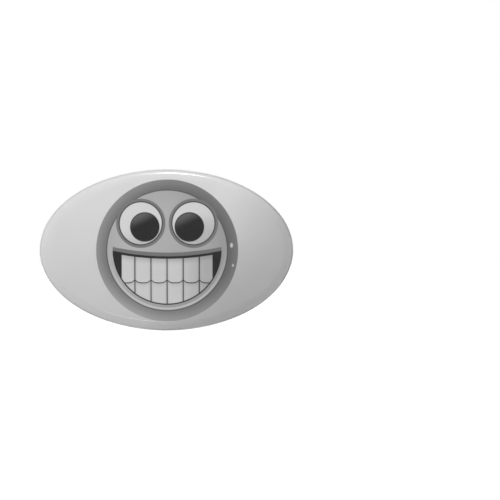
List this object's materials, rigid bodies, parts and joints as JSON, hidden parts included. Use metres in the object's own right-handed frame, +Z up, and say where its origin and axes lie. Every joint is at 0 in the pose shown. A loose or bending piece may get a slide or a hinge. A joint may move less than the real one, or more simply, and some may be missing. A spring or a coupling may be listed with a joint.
{
  "type": "button badge",
  "caption": "Oval pin-back button badge: printed sheet under clear film on a domed steel shell, dished back plate with bar pin and turning safety catch.",
  "frame": {"origin": "middle of the back rim's plane, where the badge lies against the cloth it is pinned to", "axes": "+Z up as worn, +X along the long axis (to the right when the front is seen), +Y out of the back, so the printed front faces -Y"},
  "size_m": [0.0698, 0.0085, 0.0444],
  "materials": {
    "film": "clear gloss",
    "print": "printed coated paper",
    "shell_steel": "bare tinplate",
    "tinplate": "bright tinplate with rolling grain on the flat",
    "pin_steel": "nickel plated",
    "wire_steel": "polished wire"
  },
  "bodies": {
    "root": {"clear_film": "film", "printed_sheet": "print", "front_shell": "shell_steel", "back_plate": "tinplate", "pin_bar": "pin_steel", "bar_rivet_right": "pin_steel", "bar_rivet_left": "pin_steel", "hinge_rivet": "wire_steel", "catch_housing": "pin_steel"},
    "needle": {"needle": "wire_steel"},
    "lock": {"catch_lock": "pin_steel"}
  },
  "joints": [
    {"name": "needle_hinge", "type": "hinge", "parent": "root", "child": "needle", "pos_m": [-0.0146, -0.00147, 0.0065], "axis": [0, 0, 1], "range_deg": [0, 85]},
    {"name": "lock_turn", "type": "hinge", "parent": "root", "child": "lock", "pos_m": [0.0071, -0.0008, 0.0065], "axis": [1, 0, 0], "range_deg": [-100, 0]}
  ]
}
